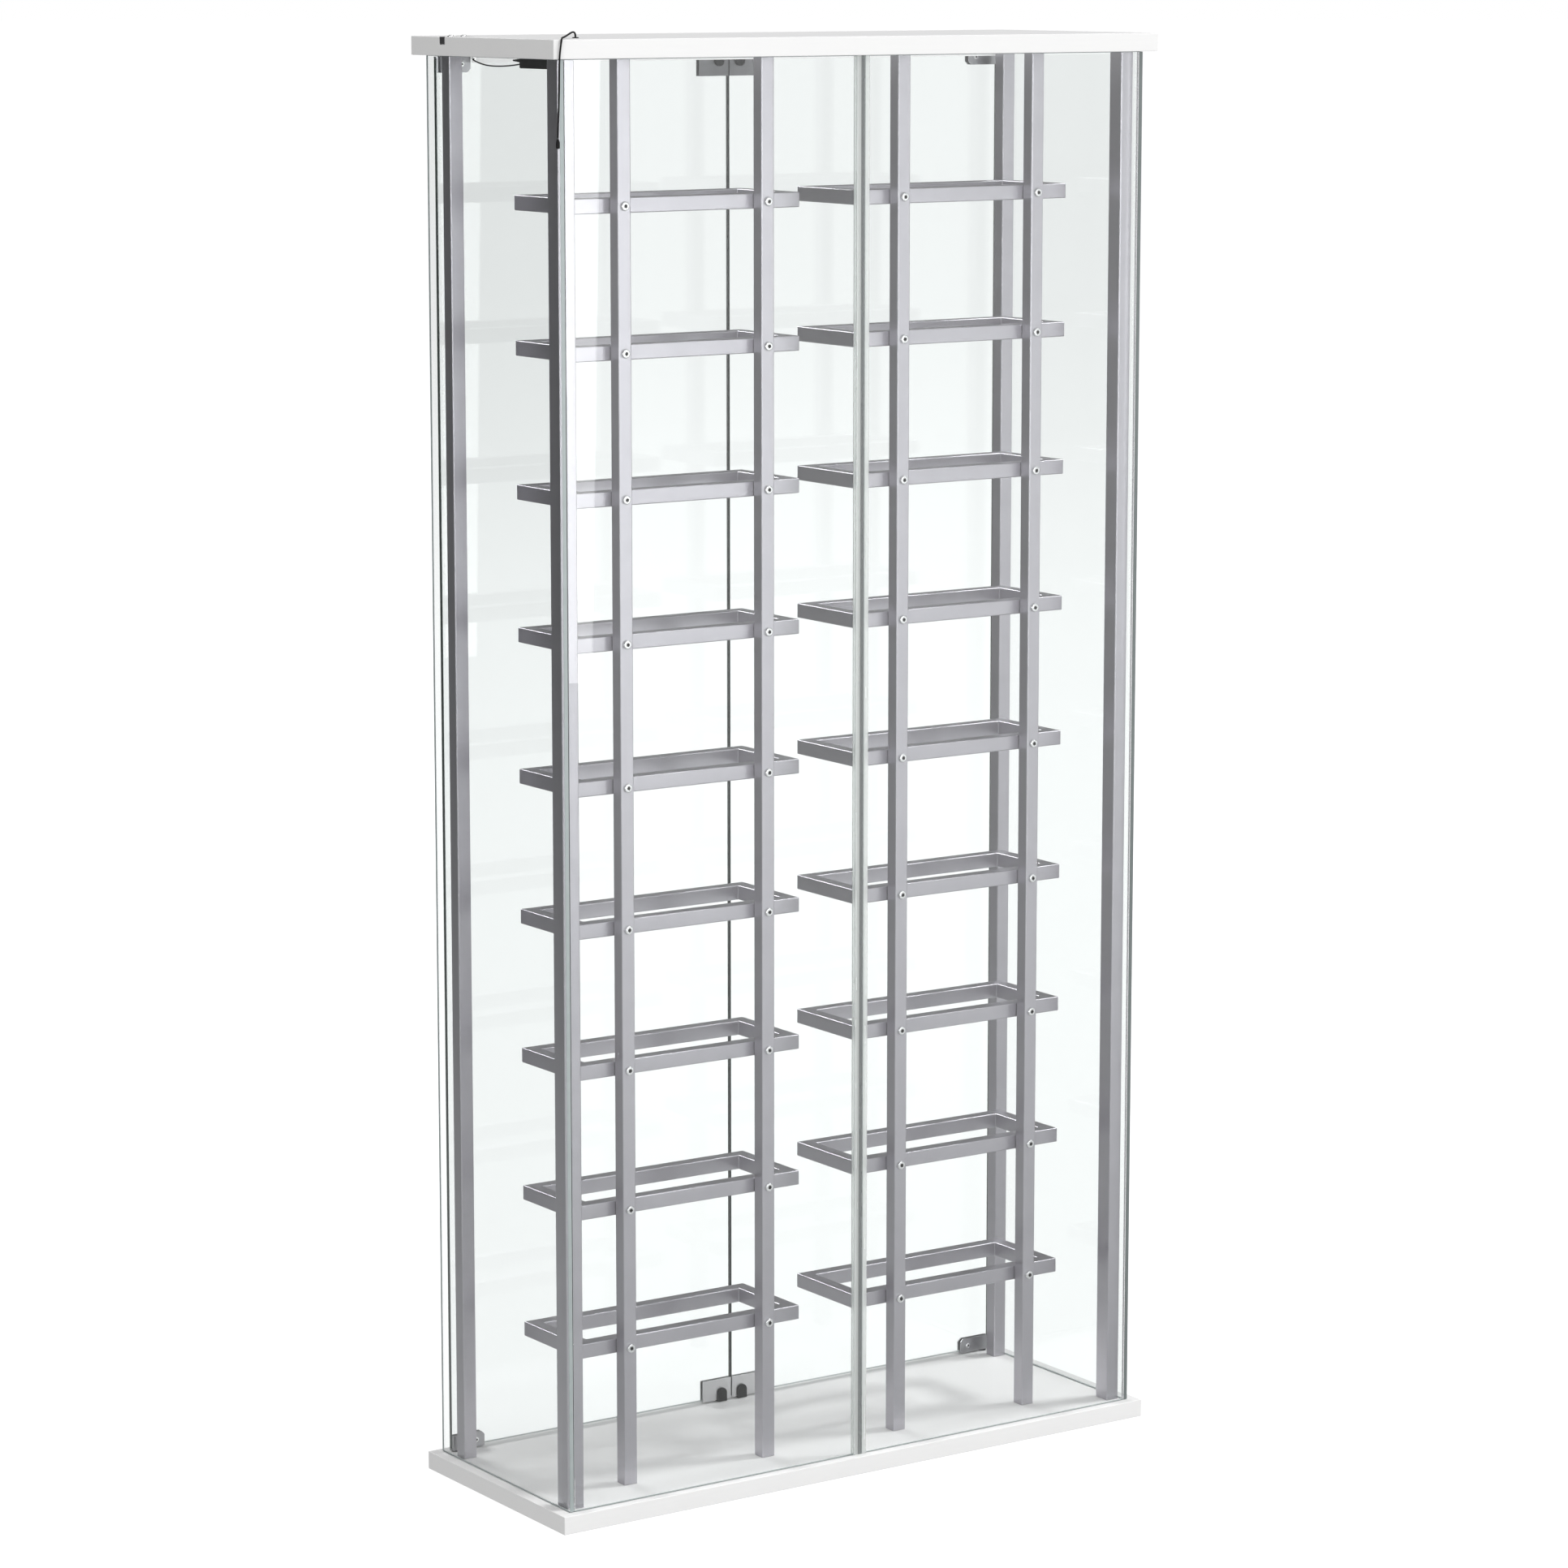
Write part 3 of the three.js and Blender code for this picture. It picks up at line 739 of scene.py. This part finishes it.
# %% Screw heads
HEAD_RADIUS = 4.0 * MM
HEAD_HEIGHT = 2.3 * MM
SOCKET_RADIUS = 1.8 * MM
SOCKET_DEPTH = 1.2 * MM
HEAD_SIDES = 24
SOCKET_SIDES = 6
HEAD_PROFILE = ((1.0, 0.35), (0.97, 0.7), (0.88, 0.93), (0.78, 1.0), (0.62, 1.0))


def only(kind, grown):
    """The new corners or the new edges that an operator gives back."""
    return [g for g in grown["geom"] if isinstance(g, kind)]


def screw_head(radius, height, socket):
    """A round head with its seat on the XY plane and its axis along Z."""
    corner, line = bmesh.types.BMVert, bmesh.types.BMEdge
    shape = bmesh.new()
    skirt = bmesh.ops.create_circle(shape, segments=HEAD_SIDES, radius=radius, cap_ends=False)
    first = list({e for v in skirt["verts"] for e in v.link_edges})
    rim = first
    for share, rise in HEAD_PROFILE:
        grown = bmesh.ops.extrude_edge_only(shape, edges=rim)
        rim = only(line, grown)
        for vert in only(corner, grown):
            flat = Vector((vert.co.x, vert.co.y)).normalized() * radius * share
            vert.co = Vector((flat.x, flat.y, height * rise))
    hexagon = bmesh.ops.create_circle(
        shape, segments=SOCKET_SIDES, radius=socket, cap_ends=False
    )
    bmesh.ops.translate(shape, vec=(0, 0, height), verts=hexagon["verts"])
    six = list({e for v in hexagon["verts"] for e in v.link_edges})
    cuts = bmesh.ops.subdivide_edges(shape, edges=six, cuts=HEAD_SIDES // SOCKET_SIDES - 1)
    lip = only(line, cuts)
    bmesh.ops.bridge_loops(shape, edges=rim + lip)
    sunk = bmesh.ops.extrude_edge_only(shape, edges=lip)
    drop = -SOCKET_DEPTH * height / HEAD_HEIGHT
    bmesh.ops.translate(shape, vec=(0, 0, drop), verts=only(corner, sunk))
    bmesh.ops.edgenet_fill(shape, edges=only(line, sunk))
    bmesh.ops.edgenet_fill(shape, edges=first)
    return shape


print("a head is", round(2 * HEAD_RADIUS / MM, 1), "mm wide")

# %% Helpers: several shapes as one, and a shape turned into place

def gathered(shapes):
    """Several shapes as one bmesh."""
    whole = bmesh.new()
    for shape in shapes:
        loose = bpy.data.meshes.new("loose")
        shape.to_mesh(loose)
        shape.free()
        whole.from_mesh(loose)
        bpy.data.meshes.remove(loose)
    return whole


WALLWARD, UPWARD = (0, 1, 0), (0, 0, 1)


def turned_to(shape, direction, place, spin=0.0):
    """The shape with its Z axis along a direction and its origin at a place."""
    turn = Vector(direction).to_track_quat("Z", "Y").to_matrix().to_4x4()
    turn = Matrix.Translation(Vector(place)) @ turn @ Matrix.Rotation(spin, 4, "Z")
    bmesh.ops.transform(shape, matrix=turn, verts=shape.verts)
    return shape


print("heads can be gathered and turned")

# %% Place a head where each ring crosses each of its posts
SCREW_LIFT = 0.05 * MM
TURN_BY_LEVEL, TURN_BY_POST = 0.7, 1.3
ring_heights = sorted({round(sum(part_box(r), Vector()).z / 2, 5) for r in rings})
bay_posts = [name for name in posts if name.startswith("bay_post")]
for number, node in enumerate(bay_posts):
    low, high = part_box(node)
    heads = []
    for level, z in enumerate(ring_heights):
        place = ((low.x + high.x) / 2, high.y + SCREW_LIFT, z)
        head = screw_head(HEAD_RADIUS, HEAD_HEIGHT, SOCKET_RADIUS)
        spin = TURN_BY_LEVEL * level + TURN_BY_POST * number
        heads.append(turned_to(head, WALLWARD, place, spin))
    piece = new_piece(
        node + "_screws", gathered(heads), [screw_steel], CABINET
    )
    smooth(piece)
print("screws:", len(ring_heights) * len(bay_posts))

# %% [markdown]
# ## Panes and doors
# Each sheet of glass has its sharp arrises ground off, a narrow flat all round, and its edges are
# a little frosted. How dark an edge looks depends on what its sheet stands against, so each sheet
# is given its own edge tone as painted shade, and the edges that meet at the middle of the cabinet
# get the deepest painted shade.

# %% Glass sheets
ARRIS = 0.4 * MM
SEAM_REACH = 10 * MM
LEVEL_EDGE, SEAM_EDGE, UPRIGHT_EDGE = 1, 2, 3


def glass_sheet(name, node, body, upright_edge):
    low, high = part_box(node)
    thin = min(range(3), key=lambda axis: (high - low)[axis])
    shape = block(low, high)
    soften(shape, shape.edges, ARRIS, 1)
    shape.normal_update()
    for face in shape.faces:
        if abs(face.normal[thin]) > NEARLY_ALL:
            continue
        if abs(face.normal.z) > 0.5:
            face.material_index = LEVEL_EDGE
        elif abs(face.calc_center_median().x) < SEAM_REACH:
            face.material_index = SEAM_EDGE
        else:
            face.material_index = UPRIGHT_EDGE
    # Edges near the middle seam take the deepest painted shade.
    materials = [clear_glass, pale_edge, painted_shade_edge, upright_edge]
    return new_piece(name, shape, materials, body, [node])


for side, edge in (("left", painted_half_shade_edge), ("right", pale_edge)):
    glass_sheet(f"side_glass_{side}", f"side_pane_{side}", CABINET, edge)
    glass_sheet(f"rear_glass_{side}", f"rear_pane_{side}", CABINET, clear_glass)
    glass_sheet(f"door_sheet_{side}", f"door_glass_{side}", "door_" + side, painted_shade_edge)


def finish_packed(node, material):
    """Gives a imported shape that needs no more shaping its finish."""
    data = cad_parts[node].data
    data.materials.clear()
    data.materials.append(material)


finish_packed("rear_joint_strip", clear_strip)
print("six sheets of glass and the strip between two of them")

# %% [markdown]
# ## Door hardware
# Each clamp is a small steel channel around the edge of the glass, pinched by a set screw on its
# inner leaf. The strike plates are thinner channels, and the top pair carries painted shade in a
# darker copy of the plate steel. Both are copies of the imported shapes with their edges broken,
# and the clamps get their screws.

# %% Clamps, plates and set screws
SET_SCREW_RADIUS = 2.4 * MM
SET_SCREW_HEIGHT = 0.9 * MM
SET_SOCKET_RADIUS = 1.1 * MM
SET_SCREW_X = 270 * MM
SET_SCREW_IN = 5 * MM
SET_SCREW_LIFT = 0.02 * MM
SET_SCREW_TURN = 0.4
CLAMP_ROUND, PLATE_ROUND = 0.35 * MM, 0.25 * MM
SIDES = (("left", -1), ("right", 1))
ENDS = ("bottom", "top")
for side, sign in SIDES:
    body = "door_" + side
    for end in ENDS:
        clamp_node = f"pivot_clamp_{side}_{end}"
        plate_node = f"strike_plate_{side}_{end}"
        low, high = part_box(clamp_node)
        glass_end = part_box("door_glass_" + side)[0 if end == "bottom" else 1].z
        inward = 1 if end == "bottom" else -1
        shape = softened_copy(clamp_node, CLAMP_ROUND)
        piece = new_piece(
            clamp_node + "_body", shape, [clamp_steel], body, [clamp_node]
        )
        smooth(piece)
        place = (
            sign * SET_SCREW_X,
            high.y + SET_SCREW_LIFT,
            glass_end + inward * SET_SCREW_IN,
        )
        head = screw_head(SET_SCREW_RADIUS, SET_SCREW_HEIGHT, SET_SOCKET_RADIUS)
        head = turned_to(head, WALLWARD, place, SET_SCREW_TURN)
        screw = new_piece(clamp_node + "_set_screw", head, [screw_steel], body)
        smooth(screw)
        # The top plates take the copy of the steel with painted shade.
        plate_finish = plate_steel if end == "bottom" else painted_shade_plate_steel
        shape = softened_copy(plate_node, PLATE_ROUND)
        piece = new_piece(
            plate_node + "_sheet", shape, [plate_finish], body, [plate_node]
        )
        smooth(piece)
print("clamps and plates on both doors")

# %% [markdown]
# ## Small fixed pieces
# The catches, bushes, driver box, stub, grommet and connector are black mouldings. The light strip
# is a white channel with an opal cover. The fitting in the end of the top board is dull steel. The
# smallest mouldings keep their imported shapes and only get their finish.

# %% Mouldings, light strip and fitting
# Each row holds a piece, the round of its edges in millimetres, its finish and its slot.
SMALL = [
    ("driver_box", 0.8, black_moulding, "black_plastic"),
    ("side_fitting", 0.3, dull_steel, "fitting_steel"),
    ("light_housing", 0.2, white_coating_painted_glow, "light_white"),
    ("light_diffuser", 0.3, opal_cover_painted_glow, "diffuser"),
]
for side, sign in SIDES:
    for end in ENDS:
        SMALL.append((f"door_catch_{side}_{end}", 0.3, black_moulding, "black_plastic"))
for node, width, material, slot in SMALL:
    piece = new_piece(
        node + "_body", softened_copy(node, width * MM), [material], CABINET, [node]
    )
    smooth(piece)
for node in ("driver_stub", "lead_grommet", "lead_connector"):
    finish_packed(node, black_moulding)
for side, sign in SIDES:
    for end in ENDS:
        finish_packed(f"pivot_bush_{side}_{end}", black_moulding)
power_lead.data.materials.append(lead_sheath)
light_lead.data.materials.append(lead_sheath)
print("small pieces:", len(SMALL))

# %% Screws in the fitting
FITTING_SCREWS_AT = (0.3, 0.72)
FITTING_HEAD = (2.6 * MM, 1.3 * MM, 1.0 * MM)
FITTING_SCREW_LIFT = 0.02 * MM
low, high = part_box("side_fitting")
heads = []
for share in FITTING_SCREWS_AT:
    along = low.x + (high.x - low.x) * share
    place = (along, (low.y + high.y) / 2, high.z + FITTING_SCREW_LIFT)
    heads.append(turned_to(screw_head(*FITTING_HEAD), UPWARD, place, share))
piece = new_piece(
    "side_fitting_screws", gathered(heads), [screw_steel], CABINET
)
smooth(piece)
print("fitting screws:", len(FITTING_SCREWS_AT))

# %% Where the two leads hang
print("both leads hang from", CABINET)

# %% [markdown]
# ## Floor and light
# A pale floor runs out to the horizon under a white surround. What the eye sees of both is plain
# white. What the metal mirrors and the boards are lit by is shaped: bright on the wall side and
# dark beyond the doors, because satin metal only looks like metal with both to reflect. Floor and
# surround share one gradient, so that no horizon shows in the glass.

# %% The gradient that floor and surround share
BRIGHT_WAY = Vector((-0.25, 0.97, 0.0)).normalized()
AROUND_DARK, AROUND_BRIGHT = 0.1, 1.24
DARK_FROM, BRIGHT_FROM = -0.9, 1.15
FLOOR_SCALE = 4.5
print("brightest towards", [round(v, 2) for v in BRIGHT_WAY])

# %% Floor
FLOOR_REACH = 400
floor_shape = bmesh.new()
bmesh.ops.create_grid(floor_shape, x_segments=1, y_segments=1, size=FLOOR_REACH)
floor_mesh = bpy.data.meshes.new("floor")
floor_shape.to_mesh(floor_mesh)
floor_shape.free()
floor = bpy.data.objects.new("floor", floor_mesh)
bpy.context.scene.collection.objects.link(floor)
floor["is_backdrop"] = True
print("floor to", FLOOR_REACH, "m")

# %% Floor finish
FLOOR_TONE = 0.3
FLOOR_GLOW = 0.86
mix = Recipe("pale_floor")
lifted = mix.node("VectorMath", {"operation": "ADD"}, {0: mix.place(), 1: (0, 0, FLOOR_SCALE)})
spot = mix.node("VectorMath", {"operation": "NORMALIZE"}, {0: lifted})
along = mix.node(
    "VectorMath", {"operation": "DOT_PRODUCT"}, {0: spot, 1: BRIGHT_WAY}, output="Value"
)
glow = mix.node(
    "MapRange",
    {"interpolation_type": "SMOOTHSTEP"},
    {
        "Value": along,
        "From Min": DARK_FROM,
        "From Max": BRIGHT_FROM,
        "To Min": AROUND_DARK,
        "To Max": AROUND_BRIGHT,
    },
)
mirrored = mix.node("Emission", inputs={"Strength": glow})
seen = mix.surface(
    Base_Color=colour(FLOOR_TONE, FLOOR_TONE, FLOOR_TONE),
    Roughness=0.9,
    Emission_Color=WHITE,
    Emission_Strength=FLOOR_GLOW,
)
mirrored_so_far = mix.node("LightPath", output="Glossy Depth")
bounces = mirrored_so_far + mix.node("LightPath", output="Diffuse Depth")
choice = mix.node("MixShader", inputs={0: bounces > 0.5, 1: seen, 2: mirrored})
floor_mesh.materials.append(mix.finish(choice))
print("floor finish:", FLOOR_TONE, "with a glow of", FLOOR_GLOW)

# %% [markdown]
# ## Lamps
# Four wide square lamps stand well off. One faces the wall side, one comes from high up at the -X
# end and draws the thin bright lines along the tubes, one is in front of the doors and lights the
# inside of the cabinet, and a weak one fills the +X end.

# %% Lamps
def soft_lamp(name, place, aim, size, watts):
    data = bpy.data.lights.new(name, "AREA")
    data.shape = "SQUARE"
    data.size = size
    data.energy = watts
    lamp = bpy.data.objects.new(name, data)
    bpy.context.scene.collection.objects.link(lamp)
    lamp.location = place
    lamp.rotation_mode = "QUATERNION"
    lamp.rotation_quaternion = (Vector(aim) - Vector(place)).to_track_quat("-Z", "Y")


# Each row holds a name, a place, the point aimed at, a width in metres and a power in watts.
LAMPS = (
    ("wall_side_lamp", (-1.2, 4.6, 0.9), (0, 0, 0.6), 2.4, 44),
    ("edge_lamp", (-6.0, 1.6, 10.0), (0, 0, 0.7), 2.2, 660),
    ("front_lamp", (0.6, -6.0, 5.5), (0, 0, 0.5), 2.4, 225),
    ("end_lamp", (3.8, 2.2, 1.2), (0, 0, 0.6), 1.2, 31),
)
for row in LAMPS:
    soft_lamp(*row)
print("lamps:", len(LAMPS))

# %% [markdown]
# ## Surround
# The world is written the same way as the floor: plain white to the eye and through glass, and the
# shared gradient to light that has been mirrored or scattered once.

# %% Surround
world = bpy.data.worlds.new("surround")
world.use_nodes = True
bpy.context.scene.world = world
nodes = world.node_tree.nodes
links = world.node_tree.links
nodes.clear()


def world_node(kind, **settings):
    made = nodes.new("ShaderNode" + kind)
    for name, value in settings.items():
        setattr(made, name, value)
    return made


print("surround:", world.name)

# %% What lights the cabinet
toward = world_node("TexCoord")
facing = world_node("VectorMath", operation="DOT_PRODUCT")
facing.inputs[1].default_value = BRIGHT_WAY
links.new(toward.outputs["Generated"], facing.inputs[0])
spread = world_node("MapRange", interpolation_type="SMOOTHSTEP")
spread.inputs["From Min"].default_value = DARK_FROM
spread.inputs["From Max"].default_value = BRIGHT_FROM
spread.inputs["To Min"].default_value = AROUND_DARK
spread.inputs["To Max"].default_value = AROUND_BRIGHT
links.new(facing.outputs["Value"], spread.inputs["Value"])
lighting = world_node("Background")
links.new(spread.outputs["Result"], lighting.inputs["Strength"])
print("surround from", AROUND_DARK, "to", AROUND_BRIGHT)

# %% What the eye sees
plain = world_node("Background")
plain.inputs["Color"].default_value = WHITE
plain.inputs["Strength"].default_value = 1.0
sight = world_node("LightPath")
bounced = world_node("Math", operation="ADD", use_clamp=True)
links.new(sight.outputs["Glossy Depth"], bounced.inputs[0])
links.new(sight.outputs["Diffuse Depth"], bounced.inputs[1])
choice = world_node("MixShader")
links.new(bounced.outputs[0], choice.inputs[0])
links.new(plain.outputs[0], choice.inputs[1])
links.new(lighting.outputs[0], choice.inputs[2])
world_out = world_node("OutputWorld")
links.new(choice.outputs[0], world_out.inputs[0])
bpy.context.scene.view_settings.view_transform = "Standard"
print("colours shown as", bpy.context.scene.view_settings.view_transform)

# %% The size of what is drawn
low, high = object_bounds()
print("visual box", [round(v, 4) for v in high - low])
